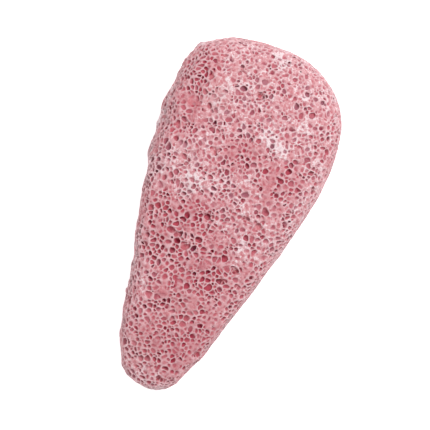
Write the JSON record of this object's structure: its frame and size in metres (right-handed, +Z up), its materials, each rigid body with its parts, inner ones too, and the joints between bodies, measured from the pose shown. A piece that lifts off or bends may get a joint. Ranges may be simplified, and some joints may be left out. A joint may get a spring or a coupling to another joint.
{
  "type": "pumice stone",
  "caption": "Teardrop lump of pink pumice with a broad rounded end, a blunt tip, a pitted skin and a flat sole that it lies on",
  "frame": {"origin": "the middle of the stone's box, on the surface that it lies on", "axes": "+X from the blunt tip to the broad end, +Y to the gently rolling flank, +Z up from the sole to the crest"},
  "size_m": [0.1102, 0.0538, 0.0311],
  "materials": {
    "pumice": "matte"
  },
  "bodies": {
    "root": {"pumice_stone": "pumice"}
  },
  "joints": []
}
